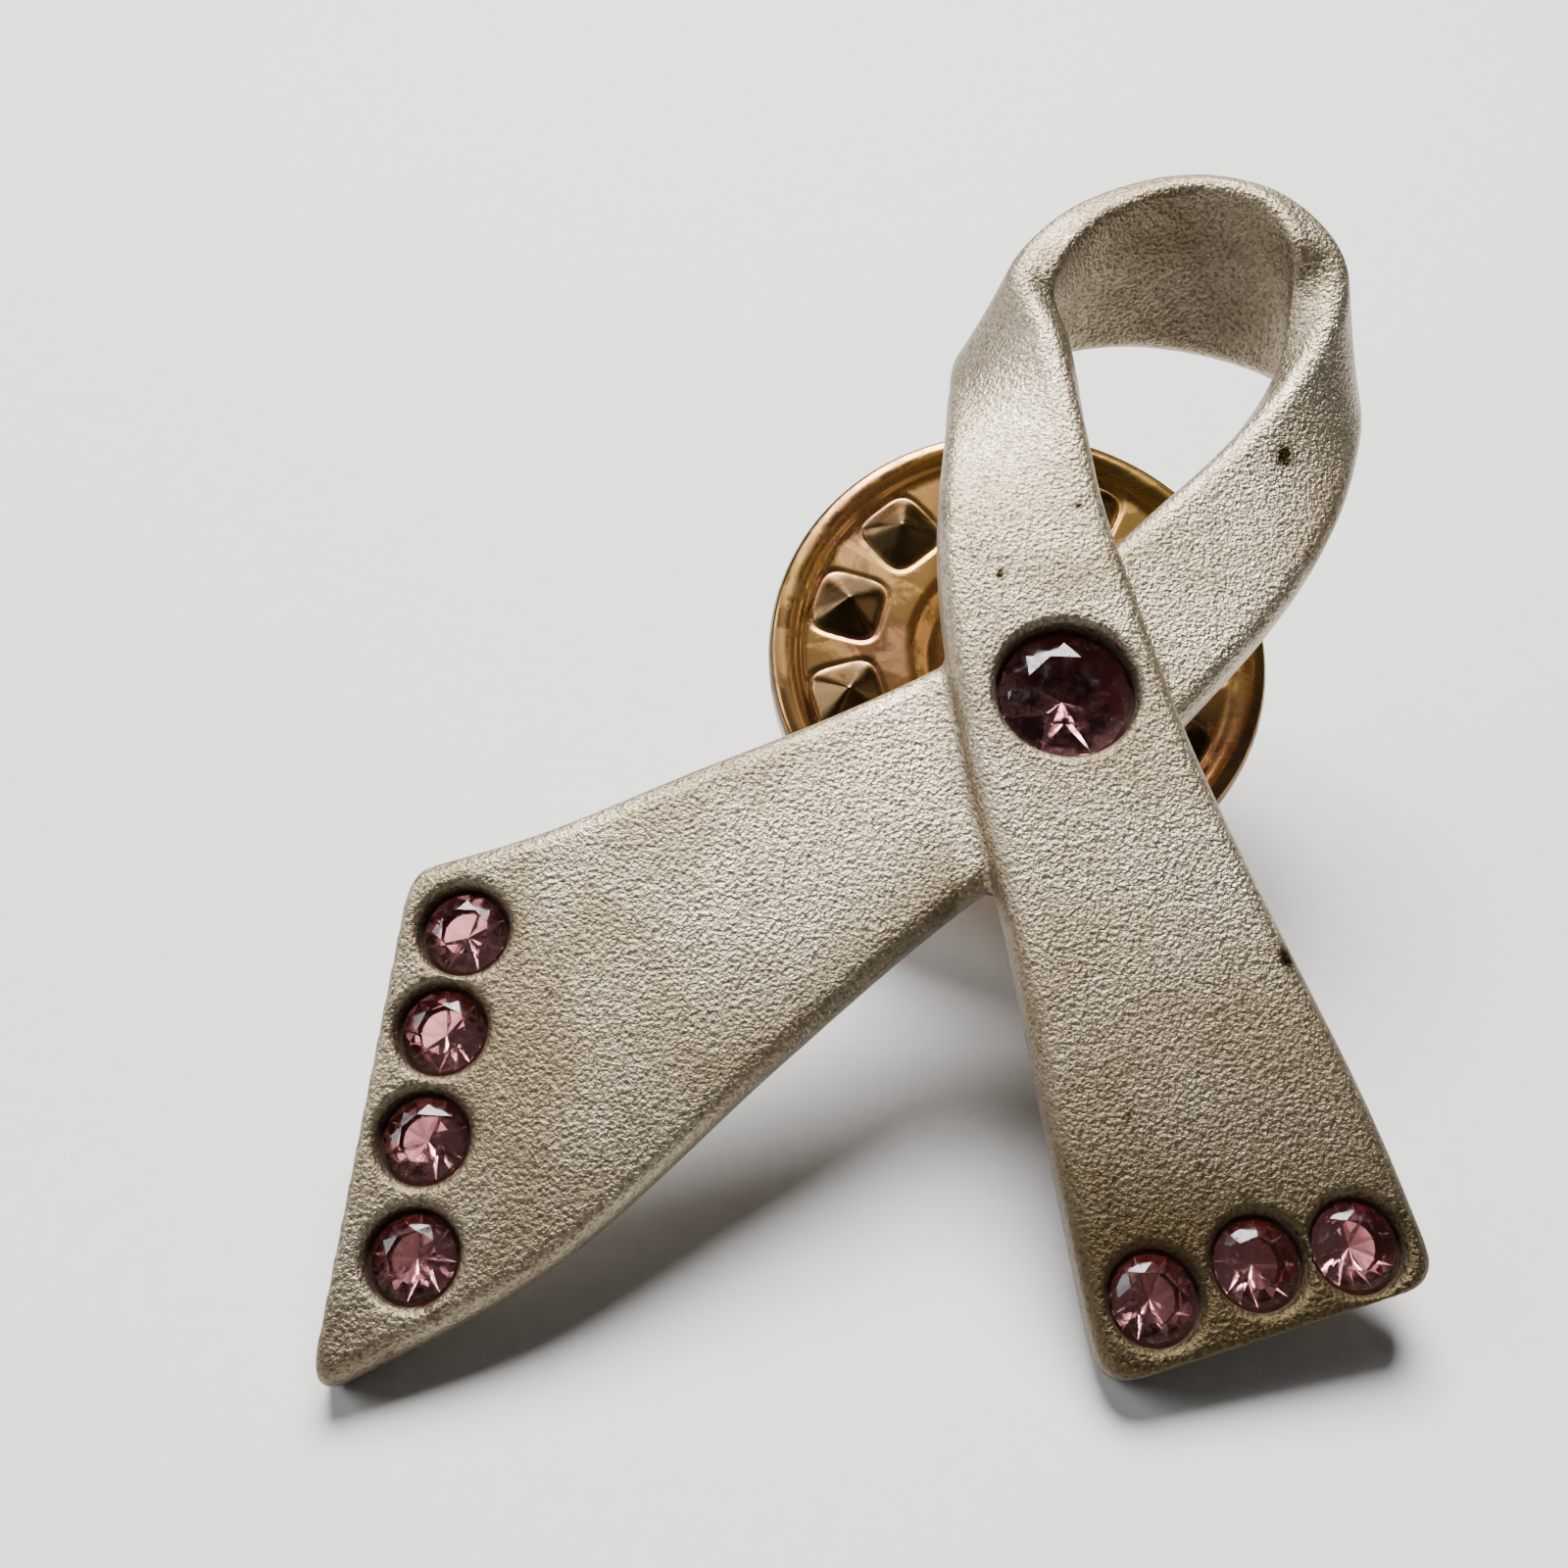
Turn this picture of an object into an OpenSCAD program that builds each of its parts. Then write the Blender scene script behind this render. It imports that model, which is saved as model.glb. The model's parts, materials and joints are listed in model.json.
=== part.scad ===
// Tie tack: a cast looped-ribbon head set with eight round stones, a soldered
// tack post and a butterfly clutch. It lies on a table on its two tail corners
// and the two wings of its clutch. +Z is up from the table, and the tail ends
// point towards -Y. Local axes of the head: u to the right, v up the ribbon,
// w out of its face. The post's axis passes through u = v = 0.

/* [Ribbon] */
// Slope of the ribbon's face above the table, degrees
tilt = 30.5; // [28:0.5:33]
// Thickness of the flat tails
tail_t = 1.25; // [1.2:0.05:1.35]
// Thickness of the band where it turns through the loop
loop_t = 1.05; // [0.95:0.05:1.15]
// Radius of the front edges of the band
front_r = 0.42; // [0.3:0.02:0.46]
// Radius of the back edges of the band
back_r = 0.28; // [0.2:0.02:0.34]
// Radius of the corners at the tail ends
corner_r = 0.6; // [0.4:0.05:0.8]

/* [Stones] */
// Girdle radius of the small stones
small_r = 0.77; // [0.7:0.01:0.8]
// Girdle radius of the centre stone
centre_r = 1.34; // [1.2:0.02:1.38]
// Radial gap between a girdle and the wall of its seat
seat_gap = 0.09; // [0.06:0.01:0.12]

/* [Tack post] */
// Radius of the post
post_r = 0.5; // [0.45:0.01:0.55]
// Length of the post from the face of its pad to its tip
post_l = 7.2; // [6.8:0.1:7.4]
// Radius of the pad soldered to the casting
pad_r = 1.2; // [1.1:0.05:1.3]

/* [Clutch] */
// Radius of the clutch disc
disc_r = 5.75; // [5.6:0.05:6]
// Depth of the disc's rim behind the plane of the ribbon's face
disc_d = 4.3; // [4.2:0.05:4.4]
// Depth of the whole clutch, from the rim to the tips of the wings
clutch_l = 5.7; // [5.6:0.05:5.8]
// Thickness of the brass sheet
sheet_t = 0.3; // [0.25:0.01:0.34]
// Number of gripping points pressed in the disc
point_n = 11; // [8:1:12]
// Width of each wing
wing_w = 3.2; // [2.8:0.1:3.4]
// Distance of each wing's tip from the post's axis
wing_reach = 4.3; // [4:0.1:4.4]

/* [Hidden] */

// Where the post's axis meets the face plane, above the middle of the footprint
foot = [2.95, 2.2, 9.1];

round_fn = 64;
rod_fn = 32;
stone_fn = 12;
sliver = 0.01;

// Stations along the band, from the right tail's end up over the loop and down
// to the left tail's end: inner edge, outer edge, thickness. Each edge point is
// on the outer face, which is the front on the straight strands.
stations = [
    [[6.4, -14.2, 0], [0.2, -16.05, 0], tail_t],
    [[5.45, -11.1, 0], [-0.45, -11.9, 0], tail_t],
    [[4.1, -7.6, 0], [-1.05, -7.9, 0], tail_t],
    [[2.85, -4.2, 0], [-1.7, -4.5, 0], tail_t],
    [[1.95, -1, 0], [-2.1, -1.2, 0], tail_t],
    [[1.35, 1.5, 0], [-2.15, 1.3, -0.1], tail_t],
    [[0.95, 3.7, 0.05], [-2, 3.4, -0.7], 1.15],
    [[0.4, 5.7, 0.05], [-1.85, 5.1, -1.8], loop_t],
    [[-0.3, 7.4, -0.05], [-1.4, 6.6, -2.8], 1.15],
    [[0.9, 9.2, -0.4], [0.4, 7.7, -3.5], loop_t],
    [[2.8, 10.2, -0.65], [2.4, 8, -3.7], loop_t],
    [[4.6, 10.3, -0.65], [4.5, 7.7, -3.7], loop_t],
    [[6.2, 9.5, -0.4], [6.5, 6.9, -3.4], 1.15],
    [[7.15, 7.9, -0.2], [7.65, 5.8, -2.8], 1.3],
    [[6.75, 6.2, -0.25], [7.8, 4.5, -2.1], 1.25],
    [[5.7, 4.8, -0.55], [7.35, 3, -1.5], 1.15],
    [[4.3, 3.35, -0.75], [6.5, 1.3, -1.1], 1.2],
    [[2.6, 1.8, -0.8], [5.2, -0.6, -0.9], 1.2],
    [[0.6, 0, -0.8], [3.2, -2.8, -0.8], 1.2],
    [[-1.6, -1.6, -0.7], [0.9, -5.1, -0.7], 1.2],
    [[-4.3, -3.05, -0.5], [-2.1, -7.3, -0.5], 1.2],
    [[-7.3, -4.45, -0.2], [-5.4, -10.2, -0.2], tail_t],
    [[-10.1, -5.75, 0], [-9.5, -13.9, 0], tail_t],
    [[-12.6, -6.55, 0], [-13.7, -16.2, 0], tail_t]
];
loop_top = 11;
// The back strand's root is tucked inside the front strand at the loop's top:
// how far in, in stations, and how much smaller
tuck = [[0.12, 0.9], [0.02, 0.97]];
steps = 3;
arc_steps = 3;

inner_edge = [for (s = stations) s[0]];
outer_edge = [for (s = stations) s[1]];
thickness = [for (s = stations) s[2]];
last = len(stations) - 1;

// Centres of the stones in the head's own plane
centre_at = [0.3, -2.8];
left_at = [[-11.5, -7.8], [-11.8, -9.7], [-12, -11.7], [-12.05, -13.8]];
right_at = [[1.2, -14.5], [3.1, -13.9], [4.9, -13.6]];

// Depths of a stone's levels, as shares of the depth of its seat
seat_depth = 1;
centre_seat_depth = 1.35;
table_at = 0.14;
girdle_at = 0.32;
girdle_h = 0.06;
culet_at = 0.94;
table_share = 0.58;
culet_r = 0.05;

// A seat's straight wall ends at seat_wall of its depth, and its floor is narrower
seat_wall = 0.62;
seat_floor = 0.55;
open_depth = 3;
// Inner outline of the adhesive: shares of the girdle radius and of the seat's depth
glue_at = 0.46;
glue_inner = [[0.72, 0.86], [0.52, 0.7], [0.92, glue_at]];

// Casting's boss and the post soldered to it; depths are behind the face plane
boss_r = 1.4;
boss_at = 0.8;
boss_end = 2.05;
pad_t = 0.35;
solder_w = 0.2;
solder_h = 0.28;
groove_at = 7.2;
groove_l = 0.55;
groove_r = post_r - 0.16;
point_l = 0.9;
tip_r = 0.12;
tip_l = 0.08;

// Clearance of the post in the clutch, and of the parts that turn
shaft_fit = 0.06;
turn_fit = 0.04;

// Disc: web and hub are stepped back from the rim, each by step_t
step_t = 0.3;
web_d = disc_d + step_t;
hub_d = web_d + step_t;
base_d = hub_d + sheet_t;
hub_r = 2;
web_in_r = 2.5;
web_out_r = disc_r - 0.8;
rim_r = disc_r - 0.4;
rim_l = 0.95;
point_at_r = 4.05;
point_w = 1.39;
point_top_w = 0.25;
point_h = 0.5;
point_from = 130;

// Hollow rivet
eyelet_r = 0.85;
flange_r = [1.3, 1.15];
flange_t = [0.23, 0.2];
flange_gap = 0.05;

// Jaws: rolled lips on the base, a bead on each wing, and tongues across the post
pivot_u = 2.6;
pivot_d = base_d + 0.5;
bead_r = 0.28;
lip_t = 0.22;
lip_mouth = [2, 1.1];
base_lap = 0.1;
bend = [[0, 0], [0.12, 0.8], [0.45, 1.9]];
flare = [0.45, 0.85];
wing_corner_r = 0.9;
tongue_d = [6.65, 7.45];
tongue_w = 2.2;
tongue_end = 1.25;
slot_l = [0.25, 0.4];
tongue_root = [2.8, 3.02];

// Catmull-Rom curve through a list, at station number s
function along(list, s) =
    let (
        i = min(floor(s), len(list) - 2),
        t = s - i,
        b = list[i],
        c = list[i + 1],
        a = i > 0 ? list[i - 1] : 2 * b - c,
        d = i + 2 < len(list) ? list[i + 2] : 2 * c - b
    )
    0.5 * (2 * b + (c - a) * t + (2 * a - 5 * b + 4 * c - d) * t * t
        + (3 * b - a - 3 * c + d) * t * t * t);

function unit(p) = p / norm(p);
function middle(s) = (along(inner_edge, s) + along(outer_edge, s)) / 2;

// Rounded outline of the band, x across it from the outer edge, y out of its face
function corner(x, y, r, from) =
    [for (k = [0:arc_steps]) let (a = from + 90 * k / arc_steps) [x + r * cos(a), y + r * sin(a)]];
function outline(w, t, inset) = concat(
    corner(w - inset - front_r, -front_r, front_r, 0),
    corner(inset + front_r, -front_r, front_r, 90),
    corner(inset + back_r, back_r - t, back_r, 180),
    corner(w - inset - back_r, back_r - t, back_r, 270)
);

// One closed ring of the band: the outline laid across it at station s
function ring(s, inset) =
    let (
        p = along(outer_edge, s),
        across = along(inner_edge, s) - p,
        w = norm(across),
        x = across / w,
        run = middle(min(s + 0.05, last)) - middle(max(s - 0.05, 0)),
        z = unit(cross(x, run))
    )
    [for (q = outline(w, along(thickness, s), inset)) p + q[0] * x + q[1] * z];

// A ring drawn in towards its own middle
function mean(r) = [for (a = [0:2]) [for (p = r) p[a]] * [for (p = r) 1]] / len(r);
function shrunk(r, share) = let (c = mean(r)) [for (p = r) c + (p - c) * share];

// Rings that round the corners of a tail's end, from its end inwards
function end_share(span) = [for (a = [90, 60, 30]) [corner_r * (1 - sin(a)) / span, corner_r * (1 - cos(a))]];
first_end = end_share(norm(middle(1) - middle(0)));
other_end = end_share(norm(middle(last) - middle(last - 1)));
front_rings = concat(
    [for (e = first_end) ring(e[0], e[1])],
    [for (i = [1:loop_top * steps]) ring(i / steps, 0)]
);
back_rings = concat(
    [for (q = tuck) shrunk(ring(loop_top - q[0], 0), q[1])],
    [for (i = [loop_top * steps + 1:last * steps - 1]) ring(i / steps, 0)],
    [for (k = [2:-1:0]) ring(last - other_end[k][0], other_end[k][1])]
);

module swept(rings) {
    n = len(rings[0]);
    m = len(rings);
    sides = [
        for (i = [0:m - 2], j = [0:n - 1])
        let (k = (j + 1) % n)
        each [
            [i * n + j, i * n + k, (i + 1) * n + j],
            [i * n + k, (i + 1) * n + k, (i + 1) * n + j]
        ]
    ];
    start_cap = [for (j = [n - 1:-1:0]) j];
    end_cap = [for (j = [0:n - 1]) (m - 1) * n + j];
    polyhedron([for (r = rings) each r], concat([start_cap, end_cap], sides));
}

// Puts the head's plane on its slope above the table
module place() {
    translate(foot) rotate([tilt, 0, 0]) children();
}

// A turned shape on the w axis, drawn in radius and depth behind the face plane
module turned(profile) {
    rotate([180, 0, 0]) rotate_extrude($fn = round_fn) polygon(profile);
}

module disc_between(r, from, to) {
    translate([0, 0, -to]) cylinder(h = to - from, r = r, $fn = round_fn);
}

// The seat of one stone; an open seat runs on through the back
module seat(r, depth, open) {
    wall = r + seat_gap;
    end = open ? open_depth : depth;
    turned([
        [0, -1], [wall, -1], [wall, seat_wall * depth], [seat_floor * r, depth],
        [seat_floor * r, end], [0, end]
    ]);
}

module stone(at, r, depth) {
    color([0.62, 0.27, 0.32])
    place() translate([at[0], at[1], 0]) {
        translate([0, 0, -girdle_at * depth])
            cylinder(h = (girdle_at - table_at) * depth, r1 = r, r2 = table_share * r, $fn = stone_fn);
        translate([0, 0, -(girdle_at + girdle_h) * depth])
            cylinder(h = girdle_h * depth, r = r, $fn = stone_fn);
        translate([0, 0, -culet_at * depth])
            cylinder(h = (culet_at - girdle_at - girdle_h) * depth, r1 = culet_r, r2 = r, $fn = stone_fn);
    }
}

// Ring of cured adhesive between a stone's pavilion and its seat
module glue(at, r, depth) {
    wall = r + seat_gap;
    color([0.55, 0.5, 0.42])
    place() translate([at[0], at[1], 0]) turned(concat(
        [[wall, glue_at * depth], [wall, seat_wall * depth]],
        [for (q = glue_inner) [q[0] * r, q[1] * depth]]
    ));
}

module ribbon() {
    color([0.66, 0.61, 0.52])
    place() difference() {
        union() {
            swept(front_rings);
            swept(back_rings);
            disc_between(boss_r, boss_at, boss_end);
        }
        translate([centre_at[0], centre_at[1], 0]) seat(centre_r, centre_seat_depth, false);
        for (at = concat(left_at, right_at))
            translate([at[0], at[1], 0]) seat(small_r, seat_depth, true);
    }
}

// Nail post: soldered pad, shank, locking groove and point
module tack_post() {
    pad_d = boss_end + pad_t;
    tip = pad_d + post_l;
    color([0.72, 0.7, 0.66])
    place() turned([
        [0, boss_end], [pad_r, boss_end], [pad_r, pad_d], [post_r, pad_d],
        [post_r, groove_at], [groove_r, groove_at], [groove_r, groove_at + groove_l],
        [post_r, groove_at + groove_l], [post_r, tip - point_l], [tip_r, tip - tip_l], [0, tip]
    ]);
}

module solder_ring() {
    color([0.6, 0.6, 0.58])
    place() turned([
        [pad_r, boss_end], [pad_r + solder_w, boss_end],
        [pad_r + 0.25 * solder_w, boss_end + 0.7 * solder_h], [pad_r, boss_end + solder_h]
    ]);
}

// Hollow rivet: it rides on the post, and the disc and the jaws turn on it
module clutch_eyelet() {
    bore_r = post_r + shaft_fit;
    front = hub_d - flange_gap;
    back = base_d + sheet_t + flange_gap;
    color([0.72, 0.53, 0.28])
    place() turned([
        [bore_r, front - flange_t[0]], [flange_r[0], front - flange_t[0]], [flange_r[0], front],
        [eyelet_r, front], [eyelet_r, back], [flange_r[1], back],
        [flange_r[1], back + flange_t[1]], [bore_r, back + flange_t[1]]
    ]);
}

// Pressed disc: rolled rim, flat web with gripping points, sunken hub
module clutch_disc() {
    hole_r = eyelet_r + turn_fit;
    t = sheet_t;
    color([0.7, 0.5, 0.24])
    place() {
        turned([
            [hole_r, hub_d], [hub_r, hub_d], [web_in_r, web_d], [web_out_r, web_d],
            [rim_r - 0.2, disc_d + 0.08], [rim_r, disc_d], [disc_r - 0.12, disc_d + 0.06],
            [disc_r, disc_d + 0.25], [disc_r, disc_d + rim_l], [disc_r - t, disc_d + rim_l],
            [disc_r - t, disc_d + 0.4], [rim_r - 0.05, disc_d + t + 0.02],
            [web_out_r + 0.15, web_d + t], [web_in_r, web_d + t], [hub_r, hub_d + t],
            [hole_r, hub_d + t]
        ]);
        for (i = [0:point_n - 1])
            rotate([0, 0, point_from + i * 360 / point_n])
            translate([point_at_r, 0, -web_d - sliver])
            rotate([0, 0, 45])
            cylinder(h = point_h, r1 = point_w / sqrt(2), r2 = point_top_w / sqrt(2), $fn = 4);
    }
}

// Flat base of the jaws, with a rolled lip along each side for a wing
module jaw_base() {
    reach = pivot_u - bead_r + base_lap;
    bore_r = bead_r + turn_fit;
    color([0.74, 0.55, 0.3])
    place() difference() {
        union() {
            translate([-reach, -wing_w / 2, -base_d - sheet_t])
                cube([2 * reach, wing_w, sheet_t]);
            for (side = [-1, 1])
                translate([side * pivot_u, 0, -pivot_d]) rotate([90, 0, 0])
                cylinder(h = wing_w, r = bore_r + lip_t, center = true, $fn = rod_fn);
        }
        disc_between(eyelet_r + turn_fit, base_d - 1, base_d + 1);
        for (side = [-1, 1])
            translate([side * pivot_u, 0, -pivot_d]) {
                rotate([90, 0, 0])
                    cylinder(h = 2 * wing_w, r = bore_r, center = true, $fn = rod_fn);
                translate([-lip_mouth[0] / 2, -wing_w, -lip_mouth[1]])
                    cube([lip_mouth[0], 2 * wing_w, lip_mouth[1]]);
            }
        // Trims the lips flush with the disc's back
        disc_between(disc_r, 0, base_d);
    }
}

// A bent strip of sheet in the u-d plane, as an extruded outline
module strip(path, w) {
    n = len(path);
    side = [
        for (i = [0:n - 1])
        let (
            d = unit(path[min(i + 1, n - 1)] - path[max(i - 1, 0)]),
            h = [-d[1], d[0]] * sheet_t / 2
        )
        [path[i] + h, path[i] - h]
    ];
    rotate([90, 0, 0]) linear_extrude(w, center = true)
        polygon(concat([for (q = side) q[0]], [for (i = [n - 1:-1:0]) side[i][1]]));
}

// The space a wing's blade fills, as wide as the wing, with its end corners rounded
module rounded_end(end_d) {
    r = wing_corner_r;
    far = 2 * wing_reach;
    translate([0, -wing_w, r - end_d]) cube([far, 2 * wing_w, far]);
    for (y = [-1, 1])
        translate([0, y * (wing_w / 2 - r), r - end_d]) rotate([0, 90, 0])
        cylinder(h = far, r = r, $fn = round_fn);
    translate([0, r - wing_w / 2, -end_d]) cube([far, wing_w - 2 * r, 2 * r]);
}

// Right-hand wing; level picks its tongue's depth, so that the two tongues cross
module wing(level) {
    end_d = disc_d + clutch_l;
    tongue = tongue_d[level];
    slot_r = post_r + shaft_fit;
    place() difference() {
        union() {
            translate([pivot_u, 0, -pivot_d]) rotate([90, 0, 0])
                cylinder(h = wing_w, r = bead_r, center = true, $fn = rod_fn);
            intersection() {
                strip(concat(
                    [for (q = bend) [pivot_u + q[0], -pivot_d - q[1]]],
                    [[wing_reach - flare[0], -end_d + flare[1]], [wing_reach - sheet_t / 2, -end_d]]
                ), wing_w);
                rounded_end(end_d);
            }
            translate([-tongue_end, -tongue_w / 2, -tongue - sheet_t / 2])
                cube([tongue_root[level] + tongue_end, tongue_w, sheet_t]);
        }
        for (u = [0, slot_l[level]])
            translate([u, 0, 0]) disc_between(slot_r, tongue - 1, tongue + 1);
        translate([0, -slot_r, -tongue - 1]) cube([slot_l[level], 2 * slot_r, 2]);
    }
}

module wing_right() {
    color([0.73, 0.54, 0.29]) wing(0);
}

module wing_left() {
    color([0.73, 0.54, 0.29])
    translate([2 * foot[0], 0, 0]) mirror([1, 0, 0]) wing(1);
}

ribbon();
stone(centre_at, centre_r, centre_seat_depth);  // centre_stone
stone(left_at[0], small_r, seat_depth);  // left_stone_1
stone(left_at[1], small_r, seat_depth);  // left_stone_2
stone(left_at[2], small_r, seat_depth);  // left_stone_3
stone(left_at[3], small_r, seat_depth);  // left_stone_4
stone(right_at[0], small_r, seat_depth);  // right_stone_1
stone(right_at[1], small_r, seat_depth);  // right_stone_2
stone(right_at[2], small_r, seat_depth);  // right_stone_3
glue(centre_at, centre_r, centre_seat_depth);  // centre_glue
glue(left_at[0], small_r, seat_depth);  // left_glue_1
glue(left_at[1], small_r, seat_depth);  // left_glue_2
glue(left_at[2], small_r, seat_depth);  // left_glue_3
glue(left_at[3], small_r, seat_depth);  // left_glue_4
glue(right_at[0], small_r, seat_depth);  // right_glue_1
glue(right_at[1], small_r, seat_depth);  // right_glue_2
glue(right_at[2], small_r, seat_depth);  // right_glue_3
tack_post();
solder_ring();
clutch_eyelet();
clutch_disc();
jaw_base();
wing_left();
wing_right();
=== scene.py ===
# Tie tack: looped ribbon head, rose stones, nail post and butterfly clutch.
# Pieces are shaped in millimetres in the head's own plane (u right, v up the ribbon,
# w out of its face, post on the w axis) and then laid on the head's slope in metres.
import json
import math
import bpy
import bmesh
import numpy as np
from mathutils import Matrix, Vector


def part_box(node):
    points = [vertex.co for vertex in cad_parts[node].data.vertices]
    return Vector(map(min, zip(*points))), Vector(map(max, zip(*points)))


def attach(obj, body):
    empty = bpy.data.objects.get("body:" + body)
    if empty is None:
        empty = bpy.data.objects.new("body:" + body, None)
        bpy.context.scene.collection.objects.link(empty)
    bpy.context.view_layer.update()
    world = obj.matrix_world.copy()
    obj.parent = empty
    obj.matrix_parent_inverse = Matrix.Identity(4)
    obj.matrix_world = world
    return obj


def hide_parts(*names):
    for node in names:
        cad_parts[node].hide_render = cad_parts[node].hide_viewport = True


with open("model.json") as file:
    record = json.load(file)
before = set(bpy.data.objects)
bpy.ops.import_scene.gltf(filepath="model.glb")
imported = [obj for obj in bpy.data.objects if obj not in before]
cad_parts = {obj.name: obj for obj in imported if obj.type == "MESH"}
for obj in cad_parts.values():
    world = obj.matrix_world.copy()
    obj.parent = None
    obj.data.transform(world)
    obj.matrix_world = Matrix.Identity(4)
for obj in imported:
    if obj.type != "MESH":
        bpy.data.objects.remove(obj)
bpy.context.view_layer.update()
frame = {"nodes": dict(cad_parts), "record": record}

nodes = frame["nodes"]

# ---------------------------------------------------------------- where the head lies
postMount = next(m for m in frame["record"]["mounts"] if m["name"] == "post")
postMid = 8.225                                 # mm behind the face, where the post mount sits
faceNormal = -Vector(postMount["axis"]).normalized()
foot = Vector(postMount["pos_m"]) + faceNormal * postMid * 0.001
upRibbon = faceNormal.cross(Vector((1, 0, 0)))
headToWorld = Matrix.Translation(foot) @ Matrix((
    (1, upRibbon.x, faceNormal.x),
    (0, upRibbon.y, faceNormal.y),
    (0, upRibbon.z, faceNormal.z),
)).to_4x4() @ Matrix.Scale(0.001, 4)


# ---------------------------------------------------------------- mesh helpers
def makeObject(name, verts, faces, smooth=True):
    mesh = bpy.data.meshes.new(name)
    mesh.from_pydata([tuple(v) for v in verts], [], [tuple(f) for f in faces])
    bm = bmesh.new()
    bm.from_mesh(mesh)
    bmesh.ops.recalc_face_normals(bm, faces=bm.faces)
    bm.to_mesh(mesh)
    bm.free()
    mesh.polygons.foreach_set("use_smooth", [smooth] * len(mesh.polygons))
    obj = bpy.data.objects.new(name, mesh)
    bpy.context.scene.collection.objects.link(obj)
    return obj


def bakeModifiers(obj):
    graph = bpy.context.evaluated_depsgraph_get()
    mesh = bpy.data.meshes.new_from_object(obj.evaluated_get(graph))
    old = obj.data
    obj.modifiers.clear()
    obj.data = mesh
    mesh.name = obj.name
    bpy.data.meshes.remove(old)


def modify(obj, kind, **settings):
    mod = obj.modifiers.new(kind.lower(), kind)
    for key, value in settings.items():
        setattr(mod, key, value)
    return mod


def layInPlace(obj):
    obj.data.transform(headToWorld)
    obj.data.update()


def keepInside(obj, cadNode):
    # trims the few microns by which a softened surface leaves its own part's box
    low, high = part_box(cadNode)
    co = np.empty(len(obj.data.vertices) * 3)
    obj.data.vertices.foreach_get("co", co)
    co = np.clip(co.reshape(-1, 3), np.array(low), np.array(high))
    obj.data.vertices.foreach_set("co", co.ravel())
    obj.data.update()


def joinInto(target, others):
    bm = bmesh.new()
    bm.from_mesh(target.data)
    for other in others:
        bm.from_mesh(other.data)
        bpy.data.objects.remove(other)
    bm.to_mesh(target.data)
    bm.free()


def roundedPath(points, radius, arcSteps=4):
    # rounds each inner corner of an open or closed outline given as [(x, y), ...]
    out = []
    count = len(points)
    for i, p in enumerate(points):
        p = np.array(p, float)
        a = np.array(points[(i - 1) % count], float) - p
        b = np.array(points[(i + 1) % count], float) - p
        la, lb = np.linalg.norm(a), np.linalg.norm(b)
        cut = min(radius, la * 0.45, lb * 0.45)
        if cut < 1e-4:
            out.append(tuple(p))
            continue
        start, end = p + a / la * cut, p + b / lb * cut
        for k in range(arcSteps + 1):
            t = k / arcSteps
            q = (1 - t) ** 2 * start + 2 * t * (1 - t) * p + t * t * end
            out.append(tuple(q))
    return out


def lathe(name, outline, segments=96, smooth=True):
    # outline is a closed loop of (radius, depth); depth runs behind the face
    verts, faces = [], []
    n = len(outline)
    for k in range(segments):
        a = 2 * math.pi * k / segments
        for r, d in outline:
            verts.append((r * math.cos(a), r * math.sin(a), -d))
    for k in range(segments):
        m = (k + 1) % segments
        for i in range(n):
            j = (i + 1) % n
            faces.append((k * n + i, m * n + i, m * n + j, k * n + j))
    obj = makeObject(name, verts, faces, smooth)
    bm = bmesh.new()
    bm.from_mesh(obj.data)
    bmesh.ops.remove_doubles(bm, verts=bm.verts, dist=0.002)
    bmesh.ops.recalc_face_normals(bm, faces=bm.faces)
    bm.to_mesh(obj.data)
    bm.free()
    return obj


def splineAt(points, s):
    i = min(int(s), len(points) - 2)
    t = s - i
    b, c = points[i], points[i + 1]
    a = points[i - 1] if i > 0 else 2 * b - c
    d = points[i + 2] if i + 2 < len(points) else 2 * c - b
    return 0.5 * (2 * b + (c - a) * t + (2 * a - 5 * b + 4 * c - d) * t * t
                  + (3 * b - a - 3 * c + d) * t ** 3)


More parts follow.
